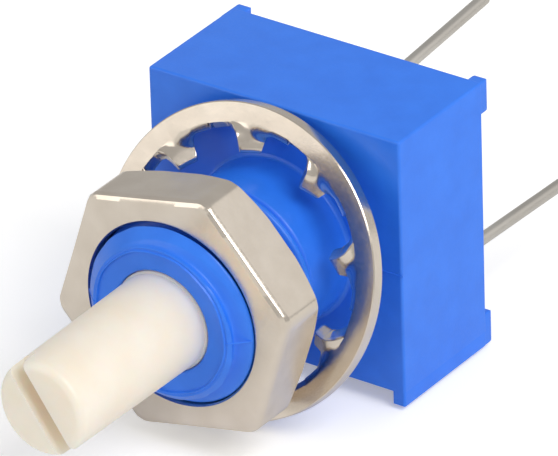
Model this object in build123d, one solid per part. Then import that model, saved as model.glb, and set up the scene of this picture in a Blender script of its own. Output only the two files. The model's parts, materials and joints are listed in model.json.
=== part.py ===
from build123d import *

import math
import os

# Panel mount potentiometer, single turn, in a square sealed housing.
# X runs across the front, Y runs from the front to the rear, Z is up.
# The origin is on the shaft's axis at the housing's front face, which meets the panel.
# All lengths are in millimetres and all angles in degrees.

# Housing block, moulded in one piece with its bushing, side rails and rear feet.
BODY_WIDTH = 9.53
BODY_HEIGHT = 9.53
BODY_DEPTH = 4.62
FRONT_WALL = 1.00
SIDE_WALL = 0.65
RAIL_WIDTH = 0.47
RAIL_DROP = 0.45
FOOT_WIDTH = 0.52
FOOT_HEIGHT = 1.15
FOOT_LENGTH = 0.43
FOOT_ROUNDING = 0.18
BLOCK_ROUNDING = 0.08

# Bushing: a plain neck at the block, then the stretch that carries the 1/4-32 thread.
BUSHING_LENGTH = 6.35
THREAD_RADIUS = 3.10
NECK_RELIEF = 0.30
NECK_LENGTH = 2.05
BUSHING_CHAMFER = 0.55
SHAFT_CLEARANCE = 0.07

# Shaft, moulded in one piece with the rotor that carries the wiper.
SHAFT_REACH = 12.70
SHAFT_RADIUS = 1.5875
JOURNAL_STEP = 0.16
JOURNAL_RECESS = 0.05
SHAFT_END_ROUNDING = 0.25
SLOT_WIDTH = 0.60
SLOT_DEPTH = 0.80
SLOT_OVERRUN = 0.20
SLOT_ANGLE = -55.0
ROTOR_RADIUS = 2.95
ROTOR_THICKNESS = 1.10
ROTOR_GAP = 0.06
STAKE_RADIUS = 0.55
STAKE_LENGTH = 0.30

# End stops: a lug on the rotor runs up against a boss in the housing.
TURN_EACH_WAY = 150.0
LUG_REACH = 0.50
LUG_HALF_ANGLE = 10.0
STOP_CLEARANCE = 0.10
STOP_END_GAP = 1.0

# Ring seal in a groove of the shaft.
SEAL_SECTION_RADIUS = 0.33
SEAL_FIT = 0.01
SEAL_PLACE = -1.60
GROOVE_SIDE_GAP = 0.08

# Resistance element on its ceramic plate, with printed conductors.
WIPER_SPACE = 0.70
ROTOR_TO_WIPER_SPACE = 0.15
PLATE_THICKNESS = 0.60
PLATE_CLEARANCE = 0.05
LEDGE_WIDTH = 0.20
FILM_THICKNESS = 0.05
TRACK_RADIUS = 2.45
TRACK_WIDTH = 0.60
TRACK_END_GAP = 60.0
END_PAD_ANGLE = 8.0
COLLECTOR_RADIUS = 1.40
COLLECTOR_WIDTH = 0.50
CONDUCTOR_RADIUS = 3.20
CONDUCTOR_WIDTH = 0.30
PAD_SIDE = 0.56

# Wiper: a stamped spring with one finger on the track and one on the collector.
WIPER_STOCK = 0.12
WIPER_PLATE_REACH = 2.85
FINGER_WIDTH = 0.36
FINGER_RUN = 0.95
FINGER_FOOT = 0.30
FINGER_TIP = 0.25
CONTACT_GAP = 0.02

# Terminal pins. The outer two stand a set distance in from the side walls and the middle
# one from the top wall. A lean is how far a pin strays in X and in Z for each mm of Y.
PIN_RADIUS = 0.205
PIN_REACH = 6.65
PIN_TIP_ROUNDING = 0.12
PIN_RECESS = 0.05
PIN_HOLE_CLEARANCE = 0.06
OUTER_PIN_EDGE = 0.535
OUTER_PIN_HEIGHT = -1.90
MIDDLE_PIN_SIDE = 0.73
MIDDLE_PIN_EDGE = 0.965
PIN_LEANS = {"1": (0.000, 0.000), "2": (-0.030, 0.059), "3": (0.012, -0.025)}
SOLDER_RADIUS = 0.42
SOLDER_HEIGHT = 0.28
COLLAR_RADIUS = 0.38
COLLAR_START = 0.30
COLLAR_PROUD = 0.10
SEAL_FILL_RECESS = 0.15

# Lock washer with internal twisted teeth. It hangs loose on the neck, leaning back.
WASHER_THICKNESS = 0.48
WASHER_RING_WIDTH = 0.78
TOOTH_COUNT = 9
TOOTH_CLEARANCE = 0.46
TOOTH_LENGTH = 0.76
TOOTH_ROOT_WIDTH = 1.15
TOOTH_TIP_WIDTH = 0.66
TOOTH_TWIST = 38.0
TOOTH_FIRST_ANGLE = 14.8
WASHER_LEAN = 17.0
WASHER_RISE = 0.06
WASHER_FACE_GAP = 0.20

# Hexagon nut, 5/16 inch across flats: its wall is measured from bore to flat.
NUT_WALL = 0.80
NUT_THICKNESS = 1.98
NUT_WASHER_GAP = 0.13
NUT_CLEARANCE = 0.07
NUT_MOUTH_CHAMFER = 0.18
NUT_CORNER_CHAMFER = 0.42
NUT_CORNER_CHAMFER_DEPTH = 0.28
NUT_FRONT_BREAK = 0.12
NUT_TURN = 12.0

# Places and sizes that follow from the ones above.
HALF_WIDTH = BODY_WIDTH / 2
TOP = BODY_HEIGHT / 2
RAIL_BOTTOM = -BODY_HEIGHT / 2
UNDERSIDE = RAIL_BOTTOM + RAIL_DROP
JOURNAL_RADIUS = SHAFT_RADIUS + JOURNAL_STEP
JOURNAL_FRONT = -BUSHING_LENGTH + JOURNAL_RECESS
BORE_RADIUS = JOURNAL_RADIUS + SHAFT_CLEARANCE
ROTOR_FRONT = FRONT_WALL + ROTOR_GAP
ROTOR_REAR = ROTOR_FRONT + ROTOR_THICKNESS
LUG_RADIUS = ROTOR_RADIUS + LUG_REACH
POCKET_RADIUS = LUG_RADIUS + STOP_CLEARANCE
WIPER_SPACE_FRONT = ROTOR_REAR + ROTOR_TO_WIPER_SPACE
PLATE_FRONT = WIPER_SPACE_FRONT + WIPER_SPACE
PLATE_REAR = PLATE_FRONT + PLATE_THICKNESS
FILM_FRONT = PLATE_FRONT - FILM_THICKNESS
FILL_REAR = BODY_DEPTH - SEAL_FILL_RECESS
COLLAR_FRONT = PLATE_REAR + COLLAR_START
COLLAR_REAR = FILL_REAR + COLLAR_PROUD
PIN_TIP = BODY_DEPTH + PIN_REACH
OUTER_PIN_SIDE = HALF_WIDTH - SIDE_WALL - OUTER_PIN_EDGE
PIN_PLACES = {
    "1": (-OUTER_PIN_SIDE, OUTER_PIN_HEIGHT),
    "2": (MIDDLE_PIN_SIDE, TOP - SIDE_WALL - MIDDLE_PIN_EDGE),
    "3": (OUTER_PIN_SIDE, OUTER_PIN_HEIGHT),
}
NECK_RADIUS = THREAD_RADIUS - NECK_RELIEF
TOOTH_TIP_RADIUS = THREAD_RADIUS + TOOTH_CLEARANCE
WASHER_RADIUS = TOOTH_TIP_RADIUS + TOOTH_LENGTH + WASHER_RING_WIDTH
NUT_BORE_RADIUS = THREAD_RADIUS + NUT_CLEARANCE
NUT_ACROSS_FLATS = 2 * (NUT_BORE_RADIUS + NUT_WALL)
TRACK_START = 90 + TRACK_END_GAP / 2
TRACK_SWEEP = 360 - TRACK_END_GAP


def rod(radius, front, rear, x=0.0, z=0.0):
    """A solid cylinder along Y."""
    return Pos(x, (front + rear) / 2, z) * Rot(90, 0, 0) * Cylinder(radius, rear - front)


def block(left, right, front, rear, bottom, top):
    """A box given by its six faces."""
    centre = Pos((left + right) / 2, (front + rear) / 2, (bottom + top) / 2)
    return centre * Box(right - left, rear - front, top - bottom)


def across(front):
    """A sketch plane facing the rear at a depth: its x is X and its y is Z."""
    return Plane(origin=(0, front, 0), x_dir=(1, 0, 0), z_dir=(0, -1, 0))


def slab(face, front, thickness):
    """A flat shape drawn in X and Z, made solid from a depth towards the rear."""
    return extrude(across(front) * face, amount=-thickness)


def sector(inner, outer, start, sweep):
    """A flat ring sector, with its angles counted from +X towards +Z."""
    middle_angle = start + sweep / 2
    points = [polar(outer, start), polar(outer, middle_angle), polar(outer, start + sweep)]
    inner_points = [polar(inner, start + sweep), polar(inner, middle_angle), polar(inner, start)]
    outline = [
        ThreePointArc(*points),
        Line(points[-1], inner_points[0]),
        ThreePointArc(*inner_points),
        Line(inner_points[-1], points[0]),
    ]
    return make_face(Wire(outline).edges())


def polar(radius, angle):
    """The point at a radius and an angle in the X and Z plane."""
    turn = math.radians(angle)
    return (radius * math.cos(turn), radius * math.sin(turn))


def strip(start, end, width):
    """A flat straight strip between two points, with square ends."""
    length = math.dist(start, end)
    angle = math.degrees(math.atan2(end[1] - start[1], end[0] - start[0]))
    middle = ((start[0] + end[0]) / 2, (start[1] + end[1]) / 2)
    return Pos(*middle) * Rot(0, 0, angle) * Rectangle(length, width)


def pocket(front, rear, wall, inset=0.0):
    """The square cavity of the housing between two depths, shrunk by an inset."""
    side = HALF_WIDTH - wall - inset
    return block(-side, side, front, rear, UNDERSIDE + wall + inset, TOP - wall - inset)


def pin_line(name, front, rear, radius):
    """A cylinder along a terminal pin's own line between two depths."""
    x, z = PIN_PLACES[name]
    lean_x, lean_z = PIN_LEANS[name]
    start = Vector(x + lean_x * (front - PLATE_REAR), front, z + lean_z * (front - PLATE_REAR))
    direction = Vector(lean_x, 1, lean_z)
    plane = Plane(origin=start, z_dir=direction)
    return extrude(plane * Circle(radius), amount=(rear - front) * direction.length)


def rear_foot(side, end):
    """A small foot on the rear rim at one corner; side and end are -1 or 1."""
    outer = side * HALF_WIDTH
    inner = side * (HALF_WIDTH - FOOT_WIDTH)
    corner = end * TOP
    reach = end * (TOP - FOOT_HEIGHT)
    foot = block(
        min(outer, inner),
        max(outer, inner),
        BODY_DEPTH - SIDE_WALL,
        BODY_DEPTH + FOOT_LENGTH,
        min(corner, reach),
        max(corner, reach),
    )
    rear_edges = foot.faces().sort_by(Axis.Y)[-1].edges()
    return fillet(rear_edges, FOOT_ROUNDING)


def housing():
    """Block, bushing, rails and feet in one moulding, open at the rear."""
    shell = block(-HALF_WIDTH, HALF_WIDTH, 0, BODY_DEPTH, RAIL_BOTTOM, TOP)
    front_edges = shell.faces().sort_by(Axis.Y)[0].edges()
    shell = fillet(front_edges, BLOCK_ROUNDING)
    channel_half = HALF_WIDTH - RAIL_WIDTH
    shell -= block(-channel_half, channel_half, 0, BODY_DEPTH, RAIL_BOTTOM, UNDERSIDE)
    for side in (-1, 1):
        for end in (-1, 1):
            shell += rear_foot(side, end)
    shell += rod(NECK_RADIUS, -NECK_LENGTH, FRONT_WALL)
    thread_core = rod(THREAD_RADIUS, -BUSHING_LENGTH, -NECK_LENGTH)
    mouth = thread_core.edges().filter_by(GeomType.CIRCLE).sort_by(Axis.Y)[0]
    shell += chamfer(mouth, BUSHING_CHAMFER)
    shell -= rod(BORE_RADIUS, -BUSHING_LENGTH, FRONT_WALL)
    rotor_pocket = rod(POCKET_RADIUS, FRONT_WALL, WIPER_SPACE_FRONT)
    shell -= rotor_pocket
    shell -= pocket(WIPER_SPACE_FRONT, PLATE_FRONT, SIDE_WALL + LEDGE_WIDTH)
    shell -= pocket(PLATE_FRONT, BODY_DEPTH, SIDE_WALL)
    stop_half_angle = 180 - TURN_EACH_WAY - LUG_HALF_ANGLE - STOP_END_GAP
    boss = sector(
        ROTOR_RADIUS + STOP_CLEARANCE,
        POCKET_RADIUS + SIDE_WALL / 2,
        90 - stop_half_angle,
        2 * stop_half_angle,
    )
    return shell + slab(boss, FRONT_WALL, WIPER_SPACE_FRONT - FRONT_WALL)


def shaft():
    """Shaft with its driver slot and seal groove, rotor disc, stop lug and wiper stake."""
    tip = rod(SHAFT_RADIUS, -SHAFT_REACH, JOURNAL_FRONT)
    end_edge = tip.edges().filter_by(GeomType.CIRCLE).sort_by(Axis.Y)[0]
    body = fillet(end_edge, SHAFT_END_ROUNDING)
    body += rod(JOURNAL_RADIUS, JOURNAL_FRONT, ROTOR_FRONT)
    body += rod(ROTOR_RADIUS, ROTOR_FRONT, ROTOR_REAR)
    lug = sector(
        ROTOR_RADIUS - LUG_REACH, LUG_RADIUS, -90 - LUG_HALF_ANGLE, 2 * LUG_HALF_ANGLE
    )
    body += slab(lug, ROTOR_FRONT, ROTOR_THICKNESS)
    body += rod(STAKE_RADIUS, ROTOR_REAR, ROTOR_REAR + STAKE_LENGTH)
    slot_length = 2 * (SHAFT_RADIUS + SLOT_OVERRUN)
    slot_face = Rot(0, 0, SLOT_ANGLE) * Rectangle(slot_length, SLOT_WIDTH)
    body -= slab(slot_face, -SHAFT_REACH, SLOT_DEPTH)
    groove_half = SEAL_SECTION_RADIUS + GROOVE_SIDE_GAP
    groove = rod(BORE_RADIUS, SEAL_PLACE - groove_half, SEAL_PLACE + groove_half)
    groove -= rod(groove_floor(), SEAL_PLACE - groove_half, SEAL_PLACE + groove_half)
    return body - groove


def groove_floor():
    """Radius of the seal groove's floor, from the bore, the seal and their fit."""
    return BORE_RADIUS - 2 * SEAL_SECTION_RADIUS - 2 * SEAL_FIT


def shaft_seal():
    """Rubber ring between the groove's floor and the bushing's bore."""
    middle_radius = BORE_RADIUS - SEAL_FIT - SEAL_SECTION_RADIUS
    ring = Torus(middle_radius, SEAL_SECTION_RADIUS)
    return Pos(0, SEAL_PLACE, 0) * Rot(90, 0, 0) * ring


def finger(radius):
    """One spring finger: a foot in the plate, a slope and a flat contact tip."""
    plate_front = ROTOR_REAR
    plate_rear = plate_front + WIPER_STOCK
    tip_rear = FILM_FRONT - CONTACT_GAP
    tip_front = tip_rear - WIPER_STOCK
    outline = Polyline(
        (-FINGER_RUN - FINGER_FOOT, plate_front),
        (-FINGER_RUN, plate_front),
        (0, tip_front),
        (FINGER_TIP, tip_front),
        (FINGER_TIP, tip_rear),
        (-WIPER_STOCK / 2, tip_rear),
        (-FINGER_RUN - WIPER_STOCK / 2, plate_rear),
        (-FINGER_RUN - FINGER_FOOT, plate_rear),
        close=True,
    )
    face = make_face(Plane.XY * outline)
    raised = extrude(face, amount=FINGER_WIDTH / 2, both=True)
    return Pos(-FINGER_TIP / 2, 0, -radius) * raised


def wiper_contact():
    """Spring plate held by the rotor's stake, with a finger for each film."""
    half_plate = sector(STAKE_RADIUS, WIPER_PLATE_REACH, 180, 180)
    upper_lobe = sector(STAKE_RADIUS, 2 * STAKE_RADIUS, 0, 180)
    face = half_plate + upper_lobe
    for radius in (TRACK_RADIUS, COLLECTOR_RADIUS):
        window_left = -FINGER_RUN - FINGER_TIP / 2
        window_right = FINGER_TIP + FINGER_WIDTH
        window_half = FINGER_WIDTH / 2 + WIPER_STOCK / 2
        middle = ((window_left + window_right) / 2, -radius)
        window = Pos(*middle) * Rectangle(window_right - window_left, 2 * window_half)
        face -= window
    contact = slab(face, ROTOR_REAR, WIPER_STOCK)
    for radius in (TRACK_RADIUS, COLLECTOR_RADIUS):
        contact += finger(radius)
    return contact


def element_substrate():
    """Ceramic plate on the housing's ledge, with a hole for each pin."""
    plate = pocket(PLATE_FRONT, PLATE_REAR, SIDE_WALL, PLATE_CLEARANCE)
    for name in PIN_PLACES:
        plate -= pin_line(name, PLATE_FRONT, PLATE_REAR, PIN_RADIUS + PIN_HOLE_CLEARANCE)
    return plate


def resistive_track():
    """Printed resistance film, an open ring between its two end conductors."""
    inner = TRACK_RADIUS - TRACK_WIDTH / 2
    face = sector(
        inner,
        inner + TRACK_WIDTH,
        TRACK_START + END_PAD_ANGLE,
        TRACK_SWEEP - 2 * END_PAD_ANGLE,
    )
    return slab(face, FILM_FRONT, FILM_THICKNESS)


def end_conductor(side):
    """Printed conductor from one end of the track to its pin; side is -1 or 1."""
    pin = PIN_PLACES["3"] if side > 0 else PIN_PLACES["1"]
    inner = TRACK_RADIUS - TRACK_WIDTH / 2
    track_end = 90 - side * TRACK_END_GAP / 2
    far_angle = math.degrees(math.atan2(pin[1], side * pin[0]))
    pad_start = min(track_end, track_end - side * END_PAD_ANGLE)
    end_pad = sector(inner, CONDUCTOR_RADIUS, pad_start, END_PAD_ANGLE)
    arc_end = far_angle if side > 0 else 180 - far_angle
    arc = sector(
        CONDUCTOR_RADIUS - CONDUCTOR_WIDTH / 2,
        CONDUCTOR_RADIUS + CONDUCTOR_WIDTH / 2,
        min(track_end, arc_end),
        abs(track_end - arc_end),
    )
    link = strip(polar(CONDUCTOR_RADIUS, arc_end), pin, CONDUCTOR_WIDTH)
    pad = Pos(*pin) * Rectangle(PAD_SIDE, PAD_SIDE)
    return slab(end_pad + arc + link + pad, FILM_FRONT, FILM_THICKNESS)


def collector_ring():
    """Printed ring that the wiper's inner finger runs on, led out to pin 2."""
    pin = PIN_PLACES["2"]
    ring = Circle(COLLECTOR_RADIUS + COLLECTOR_WIDTH / 2)
    ring -= Circle(COLLECTOR_RADIUS - COLLECTOR_WIDTH / 2)
    lead_angle = math.degrees(math.atan2(pin[1], pin[0]))
    lead = strip(polar(COLLECTOR_RADIUS, lead_angle), pin, CONDUCTOR_WIDTH)
    pad = Pos(*pin) * Rectangle(PAD_SIDE, PAD_SIDE)
    return slab(ring + lead + pad, FILM_FRONT, FILM_THICKNESS)


def terminal_pin(name):
    """Round tinned pin with a collar cast into the resin and a rounded tip."""
    wire = pin_line(name, PLATE_FRONT + PIN_RECESS, PIN_TIP, PIN_RADIUS)
    tip_edge = wire.edges().filter_by(GeomType.CIRCLE).sort_by(Axis.Y)[-1]
    wire = fillet(tip_edge, PIN_TIP_ROUNDING)
    return wire + pin_line(name, COLLAR_FRONT, COLLAR_REAR, COLLAR_RADIUS)


def solder_joint(name):
    """Solder cone between the rear of the plate and a pin."""
    x, z = PIN_PLACES[name]
    cone = Cone(SOLDER_RADIUS, PIN_RADIUS + PIN_HOLE_CLEARANCE, SOLDER_HEIGHT)
    placed = Pos(x, PLATE_REAR + SOLDER_HEIGHT / 2, z) * Rot(-90, 0, 0) * cone
    return placed - pin_line(name, PLATE_FRONT, PIN_TIP, PIN_RADIUS)


def rear_seal():
    """Cast resin that closes the rear around the pins and their solder."""
    fill = pocket(PLATE_REAR, FILL_REAR, SIDE_WALL)
    for name in PIN_PLACES:
        x, z = PIN_PLACES[name]
        cone = Cone(SOLDER_RADIUS, PIN_RADIUS + PIN_HOLE_CLEARANCE, SOLDER_HEIGHT)
        fill -= Pos(x, PLATE_REAR + SOLDER_HEIGHT / 2, z) * Rot(-90, 0, 0) * cone
        fill -= pin_line(name, PLATE_FRONT, PIN_TIP, PIN_RADIUS)
        fill -= pin_line(name, COLLAR_FRONT, COLLAR_REAR, COLLAR_RADIUS)
    return fill


def washer_tooth(angle):
    """One washer tooth about its own radial line, twisted out of the ring's plane."""
    root_radius = WASHER_RADIUS - WASHER_RING_WIDTH / 2
    outline = Polyline(
        (TOOTH_TIP_RADIUS, -TOOTH_TIP_WIDTH / 2),
        (root_radius, -TOOTH_ROOT_WIDTH / 2),
        (root_radius, TOOTH_ROOT_WIDTH / 2),
        (TOOTH_TIP_RADIUS, TOOTH_TIP_WIDTH / 2),
        close=True,
    )
    tooth = extrude(make_face(outline), amount=WASHER_THICKNESS / 2, both=True)
    return Rot(0, 0, angle) * Rot(TOOTH_TWIST, 0, 0) * tooth


def lock_washer():
    """Spring ring with twisted inner teeth, leaning on the neck of the bushing."""
    ring = Cylinder(WASHER_RADIUS, WASHER_THICKNESS)
    ring -= Cylinder(WASHER_RADIUS - WASHER_RING_WIDTH, WASHER_THICKNESS)
    for number in range(TOOTH_COUNT):
        ring += washer_tooth(TOOTH_FIRST_ANGLE + number * 360 / TOOTH_COUNT)
    return Pos(0, washer_place(), WASHER_RISE) * Rot(90 - WASHER_LEAN, 0, 0) * ring


def washer_reach():
    """How far the leaning washer's rim reaches along Y from its centre."""
    lean = math.radians(WASHER_LEAN)
    return WASHER_RADIUS * math.sin(lean) + WASHER_THICKNESS / 2 * math.cos(lean)


def washer_place():
    """Depth of the washer's centre, with its upper rim just clear of the block."""
    return -(washer_reach() + WASHER_FACE_GAP)


def hex_nut():
    """Hexagon nut with a chamfered mouth and corners, plain inside for its thread."""
    corner_radius = NUT_ACROSS_FLATS / math.sqrt(3)
    rear = washer_place() - washer_reach() - NUT_WASHER_GAP
    front = rear - NUT_THICKNESS
    hexagon = Rot(0, 0, NUT_TURN) * RegularPolygon(corner_radius, 6)
    nut = slab(hexagon, front, NUT_THICKNESS)
    envelope = rod(corner_radius, front, rear)
    rims = envelope.edges().filter_by(GeomType.CIRCLE).sort_by(Axis.Y)
    envelope = chamfer(rims[-1], NUT_CORNER_CHAMFER_DEPTH, NUT_CORNER_CHAMFER)
    front_rim = envelope.edges().filter_by(GeomType.CIRCLE).sort_by(Axis.Y)[0]
    envelope = chamfer(front_rim, NUT_FRONT_BREAK)
    nut &= envelope
    nut -= rod(NUT_BORE_RADIUS, front, rear)
    mouths = nut.edges().filter_by(GeomType.CIRCLE)
    mouths = mouths.filter_by(lambda edge: edge.radius < NUT_BORE_RADIUS + NUT_MOUTH_CHAMFER)
    return chamfer(mouths, NUT_MOUTH_CHAMFER)


def write(name, shape):
    """Write one node's solid to its own file."""
    export_step(shape, os.path.join("parts", name + ".step"))


os.makedirs("parts", exist_ok=True)
write("housing", housing())
write("shaft", shaft())
write("shaft_seal", shaft_seal())
write("wiper_contact", wiper_contact())
write("element_substrate", element_substrate())
write("resistive_track", resistive_track())
write("collector_ring", collector_ring())
write("end_conductor_1", end_conductor(-1))
write("end_conductor_3", end_conductor(1))
for pin_name in PIN_PLACES:
    write("terminal_pin_" + pin_name, terminal_pin(pin_name))
    write("solder_joint_" + pin_name, solder_joint(pin_name))
write("rear_seal", rear_seal())
write("lock_washer", lock_washer())
write("hex_nut", hex_nut())
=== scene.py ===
"""Looks of a panel mount potentiometer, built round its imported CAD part.

Sizes are in millimetres and become metres when a mesh is written. X runs across the
front, Y runs from the front to the rear and Z is up. The origin is on the shaft's axis
at the front face of the housing. Angles in the front view count from +X towards +Z.
"""

import json
import logging
import math
from dataclasses import dataclass
from enum import Enum
from typing import Any, Sequence

import bmesh
import bpy
import numpy as np
from mathutils import Matrix, Vector


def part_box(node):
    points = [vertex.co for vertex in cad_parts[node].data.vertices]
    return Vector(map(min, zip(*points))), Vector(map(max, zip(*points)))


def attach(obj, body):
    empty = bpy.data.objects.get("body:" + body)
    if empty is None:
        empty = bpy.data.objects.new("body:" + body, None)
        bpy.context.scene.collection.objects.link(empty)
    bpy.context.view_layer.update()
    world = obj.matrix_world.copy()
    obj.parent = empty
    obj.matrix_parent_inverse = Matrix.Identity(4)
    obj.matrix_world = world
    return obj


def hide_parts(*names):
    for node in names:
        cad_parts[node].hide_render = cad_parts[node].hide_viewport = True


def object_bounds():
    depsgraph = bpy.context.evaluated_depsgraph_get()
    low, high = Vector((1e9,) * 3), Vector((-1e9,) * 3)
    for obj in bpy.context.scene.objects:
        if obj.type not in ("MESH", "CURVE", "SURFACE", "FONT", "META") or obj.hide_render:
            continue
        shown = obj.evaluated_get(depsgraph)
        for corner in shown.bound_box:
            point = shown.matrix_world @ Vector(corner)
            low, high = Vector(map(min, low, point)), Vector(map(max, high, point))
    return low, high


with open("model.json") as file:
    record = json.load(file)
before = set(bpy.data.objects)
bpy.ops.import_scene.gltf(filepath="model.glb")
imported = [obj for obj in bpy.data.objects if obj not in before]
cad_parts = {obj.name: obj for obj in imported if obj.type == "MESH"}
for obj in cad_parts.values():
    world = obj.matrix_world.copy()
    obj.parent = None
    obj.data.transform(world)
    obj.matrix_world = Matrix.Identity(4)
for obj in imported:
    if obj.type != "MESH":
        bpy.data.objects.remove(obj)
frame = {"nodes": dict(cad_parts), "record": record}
CAD_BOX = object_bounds()

MM = 0.001
LOG = logging.getLogger("potentiometer")


# ---------------------------------------------------------------- meshes


def ring_angles(count: int) -> np.ndarray:
    """Evenly spaced angles round a full turn, in radians."""
    return np.linspace(0.0, 2 * math.pi, count, endpoint=False)


def quarter(steps: int) -> np.ndarray:
    """Angles from 0 to a quarter turn, in radians."""
    return np.linspace(0.0, math.pi / 2, steps)


class Closing(Enum):
    """How the first and the last ring of a shell are joined."""

    CAPS = "caps"
    LOOP = "loop"


@dataclass(frozen=True)
class Shell:
    """A closed surface made of rings of points.

    rings has the shape (rows, columns, 3). Each row closes on itself; CAPS puts a flat
    face on the first and last row, and LOOP joins the last row to the first.
    """

    rings: np.ndarray
    closing: Closing = Closing.CAPS

    def faces(self) -> list[list[int]]:
        """Corner numbers of each face, turned so that the faces point outwards.

        Each cell of the grid becomes one quad. The volume, which is a sixth of the sum
        of the triple products of a fan over every face, tells which way they turn.
        """
        rows, columns = self.rings.shape[:2]
        number = np.arange(rows * columns).reshape(rows, columns)
        if self.closing is Closing.LOOP:
            number = np.vstack([number, number[:1]])
        beside = np.roll(number, -1, axis=1)
        quads = np.stack([number[:-1], beside[:-1], beside[1:], number[1:]], axis=-1)
        faces = quads.reshape(-1, 4).tolist()
        if self.closing is Closing.CAPS:
            faces += [number[0, ::-1].tolist(), number[-1].tolist()]
        points = self.rings.reshape(-1, 3)
        corners = np.concatenate([fan(face) for face in faces])
        a, b, c = (points[corners[:, i]] for i in range(3))
        volume = np.einsum("ij,ij->i", a, np.cross(b, c)).sum()
        return faces if volume > 0 else [face[::-1] for face in faces]


def fan(face: Sequence[int]) -> np.ndarray:
    """The triangles of a face, all of them from its first corner."""
    rest = np.asarray(face[1:])
    first = np.full(len(rest) - 1, face[0])
    return np.stack([first, rest[:-1], rest[1:]], axis=-1)


def build(name: str, shells: Sequence[Shell], sharp: float = 32.0) -> bpy.types.Object:
    """Write shells into one smooth-shaded object at the origin.

    Args:
        name: The piece's name.
        shells: Closed surfaces in millimetres.
        sharp: Edges that bend by more than this many degrees stay crisp.

    Returns:
        The new object.
    """
    points = np.concatenate([shell.rings.reshape(-1, 3) for shell in shells]) * MM
    faces: list[list[int]] = []
    start = 0
    for shell in shells:
        faces += [[start + corner for corner in face] for face in shell.faces()]
        start += shell.rings.shape[0] * shell.rings.shape[1]
    mesh = bpy.data.meshes.new(name)
    mesh.from_pydata(points.tolist(), [], faces)
    mesh.shade_smooth()
    mesh.set_sharp_from_angle(angle=math.radians(sharp))
    piece = bpy.data.objects.new(name, mesh)
    bpy.context.scene.collection.objects.link(piece)
    return piece


def cut(piece: bpy.types.Object, tool: bpy.types.Object, operation: str) -> None:
    """Cut a tool out of a piece, or join it on, and throw the tool away.

    Args:
        piece: The piece that is changed.
        tool: A closed shape, which is removed afterwards.
        operation: DIFFERENCE or UNION.
    """
    modifier = piece.modifiers.new("cut", "BOOLEAN")
    modifier.operation = operation
    modifier.object = tool
    modifier.solver = "EXACT"
    graph = bpy.context.evaluated_depsgraph_get()
    mesh = bpy.data.meshes.new_from_object(piece.evaluated_get(graph))
    piece.modifiers.clear()
    piece.data = mesh
    mesh.shade_smooth()
    mesh.set_sharp_from_angle(angle=math.radians(32.0))
    bpy.data.objects.remove(tool)


def turned(profile: np.ndarray, columns: int = 96) -> np.ndarray:
    """Rings of a turned shape: each (radius, depth) pair is carried round the Y axis."""
    angle = ring_angles(columns)
    radius = profile[:, :1]
    depth = np.broadcast_to(profile[:, 1:], (len(profile), columns))
    return np.stack([radius * np.cos(angle), depth, radius * np.sin(angle)], axis=-1)


def rounded_box_outline(
    box: tuple[float, float, float, float], radius: float, inset: float, steps: int = 5
) -> np.ndarray:
    """Outline of a rectangle in X and Z with rounded corners.

    Each corner is a quarter circle about a centre that lies one radius in from both
    sides. Insetting moves the sides in and makes the radius smaller by as much.

    Args:
        box: Left, right, bottom and top.
        radius: Corner radius with no inset.
        inset: How far the outline is moved inwards.
        steps: Points in each corner.

    Returns:
        Points of shape (4 * steps, 2).
    """
    left, right, bottom, top = box
    bend = max(radius - inset, 0.004)
    x_far, z_far = right - inset - bend, top - inset - bend
    x_near, z_near = left + inset + bend, bottom + inset + bend
    centres = [(x_far, z_far), (x_near, z_far), (x_near, z_near), (x_far, z_near)]
    turn = quarter(steps)[None, :] + np.arange(4)[:, None] * math.pi / 2
    arcs = np.stack([np.cos(turn), np.sin(turn)], axis=-1) * bend
    return (np.asarray(centres)[:, None, :] + arcs).reshape(-1, 2)


def stack(outlines: Sequence[np.ndarray], depths: Sequence[float]) -> np.ndarray:
    """Rings from outlines in X and Z, each set at its own depth."""
    flat = np.stack(outlines)
    depth = np.broadcast_to(np.asarray(depths)[:, None], flat.shape[:2])
    return np.stack([flat[..., 0], depth, flat[..., 1]], axis=-1)


def bar(
    box: tuple[float, float, float, float],
    front: float,
    rear: float,
    edge: float,
    front_round: float,
    rear_round: float,
) -> Shell:
    """A bar along Y whose long edges and two ends are rounded.

    The inset at an end follows a quarter circle: one minus the sine of an angle, while
    the depth follows one minus its cosine.

    Args:
        box: Left, right, bottom and top.
        front: Depth of the front end.
        rear: Depth of the rear end.
        edge: Radius of the long edges.
        front_round: Radius round the front end.
        rear_round: Radius round the rear end.

    Returns:
        The bar's closed surface.
    """
    turn = quarter(5)
    support = 0.02
    insets = np.concatenate(
        [
            [front_round + support],
            front_round * (1 - np.sin(turn)),
            [0.0, 0.0],
            rear_round * (1 - np.sin(turn[::-1])),
            [rear_round + support],
        ]
    )
    depths = np.concatenate(
        [
            [front],
            front + front_round * (1 - np.cos(turn)),
            [front + front_round + support, rear - rear_round - support],
            rear - rear_round * (1 - np.cos(turn[::-1])),
            [rear],
        ]
    )
    outlines = [rounded_box_outline(box, edge, inset) for inset in insets]
    return Shell(stack(outlines, depths))


def ridge(
    start: tuple[float, float, float], end: tuple[float, float, float], width: float
) -> Shell:
    """A fine raised line: a six-sided rod of the given width between two points."""
    first, last = np.asarray(start, float), np.asarray(end, float)
    along = (last - first) / np.linalg.norm(last - first)
    side = np.array([0.0, 0.0, 1.0])
    other = np.cross(along, side)
    angle = ring_angles(6)[:, None]
    spokes = (np.cos(angle) * side + np.sin(angle) * other) * width / 2
    return Shell(np.stack([first + spokes, last + spokes]))


# ---------------------------------------------------------------- finishes


def linear(colour: str) -> tuple[float, float, float, float]:
    """Turn an sRGB hex colour such as "#2F6FE0" into linear red, green, blue and 1."""
    parts = [int(colour[i : i + 2], 16) / 255 for i in (1, 3, 5)]
    low = [part / 12.92 for part in parts]
    high = [((part + 0.055) / 1.055) ** 2.4 for part in parts]
    chosen = [b if p > 0.04045 else a for p, a, b in zip(parts, low, high)]
    return (*chosen, 1.0)


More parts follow.
